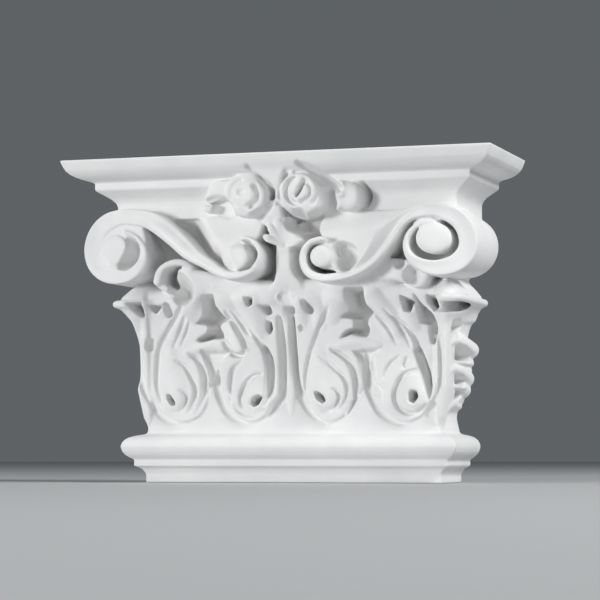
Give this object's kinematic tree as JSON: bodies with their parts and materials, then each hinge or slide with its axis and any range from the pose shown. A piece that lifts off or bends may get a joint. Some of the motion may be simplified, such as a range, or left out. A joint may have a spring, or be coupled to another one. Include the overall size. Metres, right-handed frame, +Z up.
{
  "type": "corinthian pilaster capital",
  "caption": "Cast plaster pilaster capital with moulded abacus, corner volutes, roses and scrolled acanthus leaves, flat at the back to fix against a wall.",
  "frame": {"origin": "on the underside, half way along the width and half way between the wall plane and the front edge of the abacus", "axes": "+Z up the shaft, -Y out from the wall towards the viewer, +X to the viewer's right along the wall"},
  "size_m": [0.364, 0.12, 0.264],
  "materials": {
    "plaster": "matte"
  },
  "bodies": {
    "root": {"capital": "plaster"}
  },
  "joints": []
}
